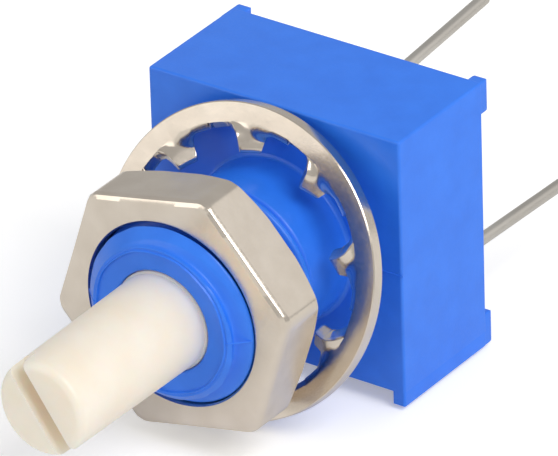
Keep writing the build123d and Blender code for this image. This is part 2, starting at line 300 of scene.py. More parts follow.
def add(
    tree: bpy.types.NodeTree, kind: str, sockets: dict[Any, Any], **settings: Any
) -> bpy.types.Node:
    """Add a node, set its properties and fill or link its input sockets.

    Args:
        tree: The node tree.
        kind: The node's type.
        sockets: Input name or number to a value, or to the output that feeds it.
        **settings: Properties of the node itself.

    Returns:
        The new node.
    """
    node = tree.nodes.new(kind)
    for key, value in settings.items():
        setattr(node, key, value)
    for key, value in sockets.items():
        if isinstance(value, bpy.types.NodeSocket):
            tree.links.new(value, node.inputs[key])
        else:
            node.inputs[key].default_value = value
    return node


def per_metre(size_mm: float) -> float:
    """Texture scale at which one feature of a noise is size_mm across."""
    return 1.0 / (size_mm * MM)


@dataclass(frozen=True)
class Finish:
    """A surface finish with mottled colour, uneven gloss and a fine relief.

    Sizes are in millimetres. The relief is a fine noise over a coarse one.
    """

    name: str
    colour: str
    shade: str
    roughness: float
    roughness_swing: float = 0.06
    mottle: float = 1.2
    grain: float = 0.10
    wave: float = 1.5
    relief: float = 0.004
    wave_relief: float = 0.004
    metallic: float = 0.0
    ior: float = 1.5
    coat: float = 0.0
    glow_depth: float = 0.0
    stretch: tuple[float, float, float] = (1.0, 1.0, 1.0)

    def material(self) -> bpy.types.Material:
        """Build the finish once, and hand out the same material afterwards."""
        if self.name in bpy.data.materials:
            return bpy.data.materials[self.name]
        made = bpy.data.materials.new(self.name)
        made.use_nodes = True
        tree = made.node_tree
        tree.nodes.clear()
        place = add(tree, "ShaderNodeTexCoord", {})
        spread = add(
            tree,
            "ShaderNodeMapping",
            {"Vector": place.outputs["Object"], "Scale": self.stretch},
        )
        where = spread.outputs["Vector"]
        mottle = add(
            tree,
            "ShaderNodeTexNoise",
            {"Vector": where, "Scale": per_metre(self.mottle), "Detail": 4.0},
        )
        blend = add(
            tree,
            "ShaderNodeMapRange",
            {"Value": mottle.outputs["Fac"], "From Min": 0.3, "From Max": 0.7},
        )
        colour = add(
            tree,
            "ShaderNodeMix",
            {
                "Factor": blend.outputs["Result"],
                "A": linear(self.shade),
                "B": linear(self.colour),
            },
            data_type="RGBA",
        )
        # In colour mode the Mix node's sockets A and B share their names with hidden
        # ones of other types, so they are set again by their place.
        colour.inputs[6].default_value = linear(self.shade)
        colour.inputs[7].default_value = linear(self.colour)
        fine = add(
            tree,
            "ShaderNodeTexNoise",
            {"Vector": where, "Scale": per_metre(self.grain), "Detail": 3.0},
        )
        coarse = add(
            tree,
            "ShaderNodeTexNoise",
            {"Vector": where, "Scale": per_metre(self.wave), "Detail": 2.0},
        )
        gloss = add(
            tree,
            "ShaderNodeMapRange",
            {
                "Value": fine.outputs["Fac"],
                "From Min": 0.25,
                "From Max": 0.75,
                "To Min": self.roughness - self.roughness_swing,
                "To Max": self.roughness + self.roughness_swing,
            },
        )
        low = add(
            tree,
            "ShaderNodeBump",
            {
                "Height": coarse.outputs["Fac"],
                "Strength": 1.0,
                "Distance": self.wave_relief * MM,
            },
        )
        relief = add(
            tree,
            "ShaderNodeBump",
            {
                "Height": fine.outputs["Fac"],
                "Strength": 1.0,
                "Distance": self.relief * MM,
                "Normal": low.outputs["Normal"],
            },
        )
        shader = add(
            tree,
            "ShaderNodeBsdfPrincipled",
            {
                "Base Color": colour.outputs[2],
                "Roughness": gloss.outputs["Result"],
                "Normal": relief.outputs["Normal"],
                "Metallic": self.metallic,
                "Coat Weight": self.coat,
                "Coat Roughness": 0.15,
            },
        )
        if not self.metallic:
            shader.inputs["IOR"].default_value = self.ior
        if self.glow_depth:
            shader.inputs["Subsurface Weight"].default_value = 0.6
            shader.inputs["Subsurface Radius"].default_value = (1.0, 0.7, 0.5)
            shader.inputs["Subsurface Scale"].default_value = self.glow_depth * MM
        add(
            tree,
            "ShaderNodeOutputMaterial",
            {"Surface": shader.outputs["BSDF"]},
        )
        return made


# Glass-filled thermoset, moulded: a strong even blue with a satin skin, on which short
# fibres leave a very fine grain.
BLUE_THERMOSET = Finish(
    name="moulded_blue_thermoset",
    colour="#2F80FA",
    shade="#2A79F2",
    roughness=0.38,
    mottle=0.9,
    grain=0.09,
    relief=0.0022,
    wave=1.8,
    wave_relief=0.010,
    ior=1.52,
)

# Natural nylon, moulded: warm white, waxy and slightly see-through at its edges.
NATURAL_NYLON = Finish(
    name="moulded_natural_nylon",
    colour="#F8EFE3",
    shade="#F5EAD9",
    roughness=0.36,
    mottle=1.6,
    grain=0.12,
    relief=0.0015,
    wave=2.5,
    wave_relief=0.008,
    ior=1.53,
    glow_depth=0.9,
)

# Barrel-plated nickel over steel: warm grey, bright but with a soft haze of tiny marks
# from tumbling.
BARREL_NICKEL = Finish(
    name="barrel_plated_nickel",
    colour="#E6DCCF",
    shade="#DBD0C2",
    roughness=0.22,
    roughness_swing=0.05,
    mottle=1.1,
    grain=0.10,
    relief=0.0012,
    wave=1.4,
    wave_relief=0.012,
    metallic=1.0,
)

# Tin-dipped copper wire: soft pale grey with faint lengthwise drawing lines.
TINNED_WIRE = Finish(
    name="hot_tinned_wire",
    colour="#D6D2CB",
    shade="#C6C1B9",
    roughness=0.36,
    roughness_swing=0.08,
    mottle=0.5,
    grain=0.07,
    relief=0.003,
    wave=0.6,
    wave_relief=0.008,
    metallic=1.0,
    stretch=(1.0, 0.15, 1.0),
)

# Solder, cooled: smooth and bright with soft ripples.
COOLED_SOLDER = Finish(
    name="cooled_solder",
    colour="#CDCCCA",
    shade="#B9B8B5",
    roughness=0.25,
    mottle=0.4,
    wave=0.5,
    wave_relief=0.01,
    metallic=1.0,
)

# Cast epoxy: darker blue, wet-looking, with a gently rippled skin.
CAST_EPOXY = Finish(
    name="cast_blue_epoxy",
    colour="#1B4FA8",
    shade="#17469A",
    roughness=0.22,
    mottle=1.5,
    grain=0.25,
    relief=0.001,
    wave=2.2,
    wave_relief=0.03,
    ior=1.55,
    coat=0.3,
)

# Silicone rubber, moulded: matt black with a faint bloom.
SILICONE_RUBBER = Finish(
    name="moulded_black_silicone",
    colour="#1C1C1D",
    shade="#242425",
    roughness=0.62,
    mottle=0.5,
    ior=1.41,
)

# Stamped spring alloy: warm yellow-white metal with rolling marks.
SPRING_ALLOY = Finish(
    name="rolled_precious_alloy",
    colour="#D9C49A",
    shade="#CDB78C",
    roughness=0.24,
    mottle=0.6,
    metallic=1.0,
    stretch=(0.2, 1.0, 1.0),
)

# Fired alumina: chalky white with a fine open grain.
FIRED_ALUMINA = Finish(
    name="fired_white_alumina",
    colour="#EFEDE6",
    shade="#E6E3DA",
    roughness=0.60,
    grain=0.06,
    relief=0.004,
    ior=1.76,
)

# Fired cermet film: matt black, slightly glassy.
CERMET_FILM = Finish(
    name="fired_black_cermet",
    colour="#18181A",
    shade="#222226",
    roughness=0.42,
    grain=0.05,
    ior=1.6,
)

# Fired silver film: pale grey metal, grainy from its glass frit.
SILVER_FILM = Finish(
    name="fired_silver_film",
    colour="#D0CFCC",
    shade="#BEBDB9",
    roughness=0.40,
    grain=0.05,
    metallic=1.0,
)


def dress(piece: bpy.types.Object, finish: Finish) -> None:
    """Give a whole piece one finish."""
    piece.data.materials.clear()
    piece.data.materials.append(finish.material())


def place(
    piece: bpy.types.Object,
    finish: Finish,
    slot: str,
    body: str,
    stands_for: str | None = None,
) -> None:
    """Dress a new piece, join it to its body and log it.

    Args:
        piece: The new piece.
        finish: Its finish.
        slot: The record's material slot; not used.
        body: The CAD body it moves with.
        stands_for: The CAD node that it replaces, if any.
    """
    dress(piece, finish)
    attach(piece, body)
    if stands_for:
        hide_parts(stands_for)
    LOG.info("%s: %d faces", piece.name, len(piece.data.polygons))


def node_box(node: str) -> tuple[np.ndarray, np.ndarray]:
    """Lowest and highest corner of a CAD node, in millimetres."""
    low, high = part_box(node)
    return np.asarray(low) / MM, np.asarray(high) / MM


# ---------------------------------------------------------------- housing


@dataclass
class Housing:
    """Block with rails and feet, and the bushing moulded on its front."""

    half_width: float = 4.765
    top: float = 4.765
    underside: float = -4.315
    depth: float = 4.62
    corner: float = 0.10
    front_edge: float = 0.08
    rear_edge: float = 0.05
    wall: float = 0.65
    pocket_floor: float = 3.9
    rail_width: float = 0.47
    rail_drop: float = 0.45
    foot_width: float = 0.52
    foot_height: float = 1.15
    foot_length: float = 0.43
    foot_round: float = 0.18
    skin: float = 0.003
    neck_radius: float = 2.80
    neck_length: float = 2.05
    neck_foot: float = 0.14
    root_radius: float = 2.58
    crest_radius: float = 3.10
    pitch: float = 0.794
    bushing_length: float = 6.35
    chamfer: float = 0.55
    flash_radius: float = 2.41
    flash_height: float = 0.045
    bore_radius: float = 1.74
    line_width: float = 0.045

    def block(self) -> Shell:
        """The block: a rounded square carried from its front face to its open rear.

        The outline runs back along the sides, turns in over the rim and runs forward
        again down the walls of the rear pocket.
        """
        outer = (-self.half_width, self.half_width, self.underside, self.top)
        side = self.half_width - self.wall
        inner = (-side, side, self.underside + self.wall, self.top - self.wall)
        turn = quarter(5)
        support = 0.03
        front, rear = self.front_edge, self.rear_edge
        insets = np.concatenate(
            [[front + support], front * (1 - np.sin(turn)), [0, 0], rear * (1 - np.cos(turn))]
        )
        depths = np.concatenate(
            [
                [0.0],
                front * (1 - np.cos(turn)),
                [front + support, self.depth - rear - support],
                self.depth - rear * (1 - np.sin(turn)),
            ]
        )
        outlines = [rounded_box_outline(outer, self.corner, inset) for inset in insets]
        mouth = -rear * (1 - np.sin(turn))
        outlines += [rounded_box_outline(inner, self.corner, inset) for inset in mouth]
        outlines += [rounded_box_outline(inner, self.corner, 0.0)] * 2
        depths = np.concatenate(
            [
                depths,
                self.depth - rear * (1 - np.cos(turn)),
                [self.depth - rear - support, self.pocket_floor],
            ]
        )
        return Shell(stack(outlines, depths))

    def rails(self) -> list[Shell]:
        """The two rails under the block, buried in it by their upper part."""
        shells = []
        for side in (-1, 1):
            ends = sorted(
                (side * (self.half_width - self.skin), side * (self.half_width - self.rail_width))
            )
            box = (*ends, self.underside - self.rail_drop, self.underside + 0.25)
            shells.append(bar(box, self.skin, self.depth - self.skin, 0.05, 0.07, 0.05))
        return shells

    def feet(self) -> list[Shell]:
        """The four small feet on the rear rim, rounded at their ends."""
        shells = []
        bottom = self.underside - self.rail_drop
        for side in (-1, 1):
            ends = sorted(
                (
                    side * (self.half_width - 2 * self.skin),
                    side * (self.half_width - self.foot_width),
                )
            )
            upper = (*ends, self.top - self.foot_height, self.top - 2 * self.skin)
            lower = (*ends, bottom + 2 * self.skin, bottom + self.foot_height)
            for box in (upper, lower):
                shells.append(
                    bar(
                        box,
                        self.depth - self.wall,
                        self.depth + self.foot_length,
                        0.06,
                        0.02,
                        self.foot_round,
                    )
                )
        return shells

    def bushing(self) -> Shell:
        """Neck, thread, chamfered end and bore as one tube round the Y axis.

        The thread's radius is the root radius plus the depth times a rounded wave of
        the phase, which is the depth along the axis over the pitch less the angle over
        a full turn: that climbs like a right-hand screw. The wave fades in over its
        first half pitch, and a cone cuts it off at the end.
        """
        columns = 180
        angle = ring_angles(columns)
        start = -self.neck_length
        foot = np.linspace(0, 1, 6)
        neck_y = np.concatenate([[0.5], 0.0 - self.neck_foot * foot])
        neck_r = np.concatenate([[self.neck_radius + self.neck_foot], self.neck_radius + self.neck_foot * (1 - np.sqrt(1 - (1 - foot) ** 2))])
        thread_y = np.linspace(start + 0.02, -self.bushing_length + 0.001, 130)
        wave = self.thread_wave(thread_y[:, None], angle[None, :])
        fade = np.clip((start - thread_y[:, None]) / (0.35 * self.pitch), 0, 1)
        fade = fade * fade * (3 - 2 * fade)
        body = self.root_radius + (self.crest_radius - self.root_radius) * wave
        thread_r = self.neck_radius + (body - self.neck_radius) * fade
        nose = self.crest_radius - self.chamfer + (thread_y[:, None] + self.bushing_length)
        nose = np.minimum(nose, self.crest_radius)
        thread_r = np.minimum(thread_r, nose)
        lip = self.end_profile(angle)
        radii = np.concatenate(
            [np.broadcast_to(neck_r[:, None], (len(neck_r), columns)), thread_r, lip[..., 0]]
        )
        depths = np.concatenate(
            [
                np.broadcast_to(neck_y[:, None], (len(neck_y), columns)),
                np.broadcast_to(thread_y[:, None], thread_r.shape),
                lip[..., 1],
            ]
        )
        rings = np.stack([radii * np.cos(angle), depths, radii * np.sin(angle)], axis=-1)
        return Shell(rings, Closing.LOOP)

    def thread_wave(self, depth: np.ndarray, angle: np.ndarray) -> np.ndarray:
        """Height of the thread from 0 at its root to 1 at its crest.

        The phase runs from 0 to 1 between roots. A raised cosine of it, pushed towards
        its ends by a smooth step, gives a round crest and a round root.
        """
        phase = -depth / self.pitch - angle / (2 * math.pi) + 0.31
        raised = 0.5 - 0.5 * np.cos(2 * math.pi * phase)
        return raised * raised * (3 - 2 * raised)

    def end_profile(self, angle: np.ndarray) -> np.ndarray:
        """Radius and depth of the bushing's end face and bore, from outside to inside.

        A thin flash ring stands on the face. Its radius strays by a few hundredths, up
        and down a zigzag of the angle. The bore then runs back to the block.
        """
        zigzag = np.abs(np.mod(angle * 9 / math.pi + 0.4, 2.0) - 1.0)
        stray = 0.035 * zigzag
        end = -self.bushing_length
        ring = self.flash_radius + stray
        rows = [
            (ring + 0.045, end + 0.005),
            (ring + 0.015, end - self.flash_height),
            (ring - 0.015, end - self.flash_height),
            (ring - 0.045, end + 0.04),
            (ring - 0.08, end + 0.05),
            (np.full_like(angle, self.bore_radius + 0.12), end + 0.05),
            (np.full_like(angle, self.bore_radius + 0.05), end + 0.06),
            (np.full_like(angle, self.bore_radius + 0.01), end + 0.10),
            (np.full_like(angle, self.bore_radius), end + 0.16),
            (np.full_like(angle, self.bore_radius), 0.5),
        ]
        return np.stack(
            [np.stack([radius, np.full_like(angle, depth)], axis=-1) for radius, depth in rows]
        )

    def parting_lines(self) -> list[Shell]:
        """Fine raised lines where the mould's halves met, level with the axis."""
        end = -self.bushing_length
        cone = self.crest_radius - self.chamfer
        shells = []
        for side in (-1, 1):
            tip = (side * (self.flash_radius + 0.05), end + 0.01, 0.0)
            shoulder = (side * self.crest_radius, end + self.chamfer, 0.0)
            shells.append(ridge(tip, (side * cone, end, 0.0), self.line_width))
            shells.append(ridge((side * cone, end, 0.0), shoulder, self.line_width))
            edge = (side * (self.half_width - 0.02), 0.0, 0.0)
            shells.append(ridge((side * self.neck_radius, 0.0, 0.0), edge, self.line_width))
            corner = (side * (self.half_width - 0.03), 0.03, 0.0)
            shells.append(ridge(edge, corner, 2.5 * self.line_width))
        return shells

    def make(self) -> None:
        """Build the moulding and put it in place of the CAD housing."""
        shells = [self.block(), *self.rails(), *self.feet(), self.bushing()]
        shells += self.parting_lines()
        place(build("housing_moulding", shells), BLUE_THERMOSET, "blue_plastic", "base", "housing")


# ---------------------------------------------------------------- shaft


@dataclass
class Shaft:
    """Slotted shaft with its rotor disc, seal groove and stake."""

    reach: float = 12.70
    tip_radius: float = 1.59
    mouth_radius: float = 1.66
    journal_radius: float = 1.72
    journal_front: float = -6.30
    end_round: float = 0.25
    slot_width: float = 0.60
    slot_depth: float = 0.80
    slot_angle: float = -55.0
    groove_front: float = -2.01
    groove_rear: float = -1.19
    groove_floor: float = 1.138
    rotor_radius: float = 2.95
    rotor_front: float = 1.06
    rotor_rear: float = 2.16
    stake_radius: float = 0.55
    stake_length: float = 0.30
    lug_radius: float = 3.45
    lug_half_angle: float = 10.0

    def radius_at(self, depth: np.ndarray) -> np.ndarray:
        """Radius of the drafted stretch, a straight line from mouth to tip."""
        share = (depth - self.journal_front) / (-self.reach - self.journal_front)
        return self.mouth_radius + (self.tip_radius - self.mouth_radius) * share

    def body(self) -> Shell:
        """The whole shaft without its slot, turned round the Y axis."""
        turn = quarter(9)
        long = np.linspace(-self.reach + self.end_round + 0.03, self.journal_front, 14)
        drafted = np.stack([self.radius_at(long), long], axis=-1)
        end_y = -self.reach + self.end_round * (1 - np.cos(turn))
        end_r = self.tip_radius - self.end_round * (1 - np.sin(turn))
        face = [[end_r[0] - 0.05, -self.reach]]
        tip = np.concatenate([face, np.stack([end_r, end_y], axis=-1)])
        rest = np.array(
            [
                [self.journal_radius, self.journal_front + 0.06],
                [self.journal_radius, self.groove_front],
                [self.groove_floor, self.groove_front],
                [self.groove_floor, self.groove_rear],
                [self.journal_radius, self.groove_rear],
                [self.journal_radius, self.rotor_front],
                [self.rotor_radius - 0.08, self.rotor_front],
                [self.rotor_radius, self.rotor_front + 0.08],
                [self.rotor_radius, self.rotor_rear - 0.08],
                [self.rotor_radius - 0.08, self.rotor_rear],
                [self.stake_radius, self.rotor_rear],
                [self.stake_radius, self.rotor_rear + self.stake_length - 0.08],
                [self.stake_radius - 0.08, self.rotor_rear + self.stake_length],
            ]
        )
        return Shell(turned(np.concatenate([tip, drafted, rest])))

    def slot_tool(self) -> Shell:
        """A bar across the tip, turned to the slot's angle, that cuts the slot."""
        half = self.slot_width / 2
        floor = -self.reach + self.slot_depth
        box = (-2 * self.tip_radius, 2 * self.tip_radius, -half, half)
        rings = bar(box, -self.reach - 1.0, floor, 0.02, 0.02, 0.03).rings
        turn = math.radians(self.slot_angle)
        x = rings[..., 0] * math.cos(turn) - rings[..., 2] * math.sin(turn)
        z = rings[..., 0] * math.sin(turn) + rings[..., 2] * math.cos(turn)
        return Shell(np.stack([x, rings[..., 1], z], axis=-1))

    def lug(self) -> Shell:
        """The stop lug: a ring sector that stands out from the rotor."""
        half = math.radians(self.lug_half_angle)
        sweep = np.linspace(-half, half, 9) - math.pi / 2
        inner = self.rotor_radius - 0.5
        outline = np.concatenate(
            [
                np.stack([np.cos(sweep), np.sin(sweep)], -1) * self.lug_radius,
                np.stack([np.cos(sweep[::-1]), np.sin(sweep[::-1])], -1) * inner,
            ]
        )
        depths = [self.rotor_front + 0.02, self.rotor_rear - 0.02]
        return Shell(stack([outline, outline], depths))

    def make(self) -> None:
        """Build the shaft and put it in place of the CAD shaft."""
        piece = build("shaft_moulding", [self.body()])
        cut(piece, build("slot_tool", [self.slot_tool()]), "DIFFERENCE")
        cut(piece, build("lug_tool", [self.lug()]), "UNION")
        place(piece, NATURAL_NYLON, "white_nylon", "rotor", "shaft")


# ---------------------------------------------------------------- lock washer


@dataclass
class LockWasher:
    """Spring ring with twisted inner teeth, in its own plane and then leaned back."""

    outer_radius: float = 5.10
    scallop_radius: float = 4.36
    tip_radius: float = 3.50
    thickness: float = 0.48
    edge: float = 0.035
    inner_round: float = 0.13
    teeth: int = 9
    first_angle: float = 14.8
    tip_half_width: float = 0.34
    root_half_width: float = 0.50
    twist: float = 39.0
    lean: float = 17.0

    def inner_edge(self, share: np.ndarray) -> tuple[np.ndarray, np.ndarray]:
        """Radius and angle of the inner edge along one tooth's pitch.

        The edge is a polyline with rounded corners: the scallop's floor, the tooth's
        flank and its tip. Rounding it is a running mean of a finely sampled line.

        Args:
            share: Positions along the pitch, from -0.5 to 0.5 about the tooth.

        Returns:
            Radius, and angle from the tooth's middle in radians.
        """
        half_pitch = math.pi / self.teeth
        tip_angle = self.tip_half_width / self.tip_radius
        root_angle = self.root_half_width / self.scallop_radius
        knots = np.array([0.0, 0.10, 0.12, 0.27, 0.33, 0.40, 0.5])
        angles = np.array([0, tip_angle * 0.94, tip_angle, root_angle, 0.148, 0.20, half_pitch])
        drop = np.array([0.86, 0.86, 0.82, 0.32, 0.12, 0.02, 0.0])
        radii = self.scallop_radius - drop * (self.scallop_radius - self.tip_radius) / 0.86
        fine = np.linspace(-0.5, 0.5, 801)
        kernel = np.hanning(37)
        kernel /= kernel.sum()
        size = np.abs(fine)
        radius = np.convolve(np.pad(np.interp(size, knots, radii), 18, "wrap"), kernel, "valid")
        angle = np.interp(size, knots, angles) * np.sign(fine)
        return np.interp(share, fine, radius), np.interp(share, fine, angle)

    def bend(self, radius: np.ndarray, offset: np.ndarray) -> np.ndarray:
        """Where a point of the flat sheet goes once its tooth is twisted.

        The offset across the tooth is the radius times the sine of the angle from its
        middle. Twisting turns it about the tooth's middle line: it shrinks by the
        twist's cosine and rises by its sine. The twist grows from nothing at the ring
        to its full angle in the tooth, by a smooth step of the radius.

        Args:
            radius: Distance from the ring's axis.
            offset: Angle from the tooth's middle, in radians.

        Returns:
            Points with x along the tooth's middle line and z out of the ring's plane.
        """
        start, full = self.scallop_radius + 0.06, self.scallop_radius - 0.46
        ramp = np.clip((start - radius) / (start - full), 0, 1)
        twist = np.radians(self.twist) * ramp * ramp * (3 - 2 * ramp)
        side = radius * np.sin(offset)
        return np.stack(
            [radius * np.cos(offset), side * np.cos(twist), side * np.sin(twist)], axis=-1
        )

    def shell(self, centre: np.ndarray) -> Shell:
        """The sheet with its thickness, carried into place.

        Rows run from the inner edge to the outer one and columns run round the ring.
        Each side is the bent sheet moved half the thickness along its normal, which is
        the cross product of its slopes along the radius and round the axis. The inner
        edge is rolled over by a quarter circle on each side, as a punch leaves it.

        Args:
            centre: The ring's centre in the row frame, in millimetres.

        Returns:
            The washer's closed surface.
        """
        share = np.linspace(-0.5, 0.5, 84, endpoint=False)
        radius_in, angle_in = self.inner_edge(share)
        across = np.concatenate([[0.0], np.linspace(0.12, 0.95, 20), [1.0]])[:, None]
        ease = across**1.2
        radius = radius_in * (1 - across) + self.outer_radius * across
        offset = angle_in * (1 - ease) + share * 2 * math.pi / self.teeth * ease
        middle = self.bend(radius, offset)
        small = 1e-4
        slope_out = self.bend(radius + small, offset) - self.bend(radius - small, offset)
        slope_round = self.bend(radius, offset + small) - self.bend(radius, offset - small)
        normal = np.cross(slope_out, slope_round)
        normal /= np.linalg.norm(normal, axis=-1, keepdims=True)
        half = self.thickness / 2
        inward = middle[1] - middle[0]
        inward /= np.linalg.norm(inward, axis=-1, keepdims=True)
        trimmed = middle.copy()
        trimmed[0] += inward * self.inner_round
        trimmed[-1, :, :2] *= 1 - self.edge / self.outer_radius
        short = half - self.edge
        turn = quarter(6)[1:, None, None]
        inset = self.inner_round * (1 - np.sin(turn)) * inward
        lift = (half - self.inner_round * (1 - np.cos(turn))) * normal[0]
        rings = np.concatenate(
            [
                trimmed + normal * half,
                (middle + normal * short)[-1:],
                (middle - normal * short)[-1:],
                (trimmed - normal * half)[::-1],
                middle[0] + inset - lift,
                (middle[0] + inset + lift)[::-1],
            ]
        )
        middles = math.radians(self.first_angle) + ring_angles(self.teeth)
        turn = middles[None, :, None]
        x, y = rings[:, None, :, 0], rings[:, None, :, 1]
        flat_x = (x * np.cos(turn) - y * np.sin(turn)).reshape(len(rings), -1)
        flat_y = (x * np.sin(turn) + y * np.cos(turn)).reshape(len(rings), -1)
        out = np.tile(rings[..., 2], (1, self.teeth))
        tilt = math.radians(90 - self.lean)
        depth = flat_y * math.cos(tilt) - out * math.sin(tilt) + centre[1]
        height = flat_y * math.sin(tilt) + out * math.cos(tilt) + centre[2]
        return Shell(np.stack([flat_x + centre[0], depth, height], axis=-1), Closing.LOOP)

    def make(self) -> None:
        """Build the washer about the middle of its CAD node's box."""
        low, high = node_box("lock_washer")
        piece = build("lock_washer_sheet", [self.shell((low + high) / 2)], sharp=40.0)
        place(piece, BARREL_NICKEL, "nickel_plate", "washer", "lock_washer")


# ---------------------------------------------------------------- nut


@dataclass
class HexNut:
    """Hexagon nut with a faced front and corners turned away at the rear."""

    across_flats: float = 7.94
    turn: float = 12.0
    bore_radius: float = 3.12
    mouth: float = 0.07
    front_edge: float = 0.20
    corner_cut: float = 0.10
    rear_chamfer: float = 0.62
    rear_chamfer_depth: float = 0.36
    thread_depth: float = 0.03
    pitch: float = 0.794

    def side_radius(self, angle: np.ndarray) -> np.ndarray:
        """Distance from the axis to the flats: half the width over the cosine of the
        angle from the nearest flat's middle, limited at the corners."""
        sector = math.pi / 3
        local = np.mod(angle - math.radians(self.turn), sector) - sector / 2
        limit = self.across_flats / math.sqrt(3) - self.corner_cut
        return np.minimum(self.across_flats / 2 / np.cos(local), limit)

    def shell(self, front: float, rear: float) -> Shell:
        """The nut as rings from its rear bore, over the outside, to its front bore.

        The rear cone cuts each column where the flat's radius meets it, so the cut
        shows as an arc on every flat. Inside, the wall waves out along a screw line.

        Args:
            front: Depth of the front face.
            rear: Depth of the rear face.

        Returns:
            The nut's closed surface.
        """
        steps = 36
        columns = steps * 6
        angle = ring_angles(columns) + math.radians(self.turn)
        side = self.side_radius(angle)
        corner = self.across_flats / math.sqrt(3)
        cone_start = corner - self.rear_chamfer
        slope = self.rear_chamfer_depth / self.rear_chamfer
        cut = np.maximum(side - cone_start, 0) * slope
        rear_radius = np.minimum(side - 0.05, cone_start)
        cut = np.maximum(cut, 0.04)
        edge = self.front_edge
        flat = np.ones(columns)
        bore_y = np.linspace(front + self.mouth, rear - self.mouth, 40)
        phase = -bore_y[:, None] / self.pitch - angle[None, :] / (2 * math.pi)
        wave = self.thread_depth * (0.5 - 0.5 * np.cos(2 * math.pi * phase))
        bore_r = self.bore_radius + wave
        mouth_r = self.bore_radius + self.mouth
        rows = [
            (flat * mouth_r, flat * rear),
            (flat * (mouth_r + 0.04), flat * rear),
            (rear_radius - 0.03, flat * rear),
            (rear_radius, flat * rear),
            (side, rear - cut),
            (side, rear - cut - 0.04),
            (side, flat * (front + edge + 0.03)),
            (side, flat * (front + edge)),
            (side - edge * 0.3, flat * (front + edge * 0.3)),
            (side - edge, flat * front),
            (side - edge - 0.04, flat * front),
            (flat * (mouth_r + 0.06), flat * front),
            (flat * mouth_r, flat * (front + 0.01)),
        ]
        radii = np.concatenate([np.stack([row[0] for row in rows]), bore_r])
        depths = np.concatenate(
            [np.stack([row[1] for row in rows]), np.broadcast_to(bore_y[:, None], bore_r.shape)]
        )
        rings = np.stack([radii * np.cos(angle), depths, radii * np.sin(angle)], axis=-1)
        return Shell(rings, Closing.LOOP)

    def make(self) -> None:
        """Build the nut between the ends of its CAD node's box."""
        low, high = node_box("hex_nut")
        piece = build("hex_nut_turned", [self.shell(low[1], high[1])], sharp=24.0)
        place(piece, BARREL_NICKEL, "nickel_plate", "nut", "hex_nut")


# ---------------------------------------------------------------- rear


@dataclass
class Terminals:
    """Three tinned pins, each along its own leaning line."""

    radius: float = 0.205
    collar_radius: float = 0.38
    collar_front: float = 3.91
    collar_rear: float = 4.57
    tip_round: float = 0.15
    start: float = 3.06

    def pin(self, number: str) -> Shell:
        """One pin, turned round its own line.

        The line runs through the point and along the direction that the record states
        for this terminal. Radius against depth is carried round it.

        Args:
            number: The terminal's number.

        Returns:
            The pin's closed surface.
        """
        mounts = {mount["name"]: mount for mount in frame["record"]["mounts"]}
        mount = mounts["terminal_" + number]
        point = np.asarray(mount["pos_m"]) / MM
        along = np.asarray(mount["axis"], float)
        along /= np.linalg.norm(along)
        low, high = node_box("terminal_pin_" + number)
        side = np.cross(along, [0.0, 0.0, 1.0])
        side /= np.linalg.norm(side)
        other = np.cross(side, along)
        turn = quarter(7)
        tip = high[1] - 0.003
        tip_y = tip - self.tip_round * (1 - np.sin(turn))
        tip_r = self.radius - self.tip_round * (1 - np.cos(turn))
        profile = np.array(
            [
                [self.radius * 0.8, self.start],
                [self.radius, self.start + 0.04],
                [self.radius, self.collar_front],
                [self.collar_radius, self.collar_front + 0.02],
                [self.collar_radius, self.collar_rear - 0.06],
                [self.collar_radius - 0.06, self.collar_rear],
                [self.radius + 0.02, self.collar_rear],
                [self.radius, self.collar_rear + 0.03],
                *np.stack([np.full(6, self.radius), np.linspace(5.0, tip_y[0] - 0.05, 6)], -1),
                *np.stack([tip_r, tip_y], -1),
            ]
        )
        angle = ring_angles(40)
        reach = (profile[:, 1:] - point[1]) / along[1]
        spine = point + reach * along
        spokes = np.cos(angle)[:, None] * side + np.sin(angle)[:, None] * other
        return Shell(spine[:, None, :] + profile[:, :1, None] * spokes[None])

    def make(self) -> None:
        """Build the three pins in place of their CAD nodes."""
        for number in ("1", "2", "3"):
            name = "terminal_pin_" + number
            piece = build(name + "_wire", [self.pin(number)])
            place(piece, TINNED_WIRE, "tinned_wire", "base", name)


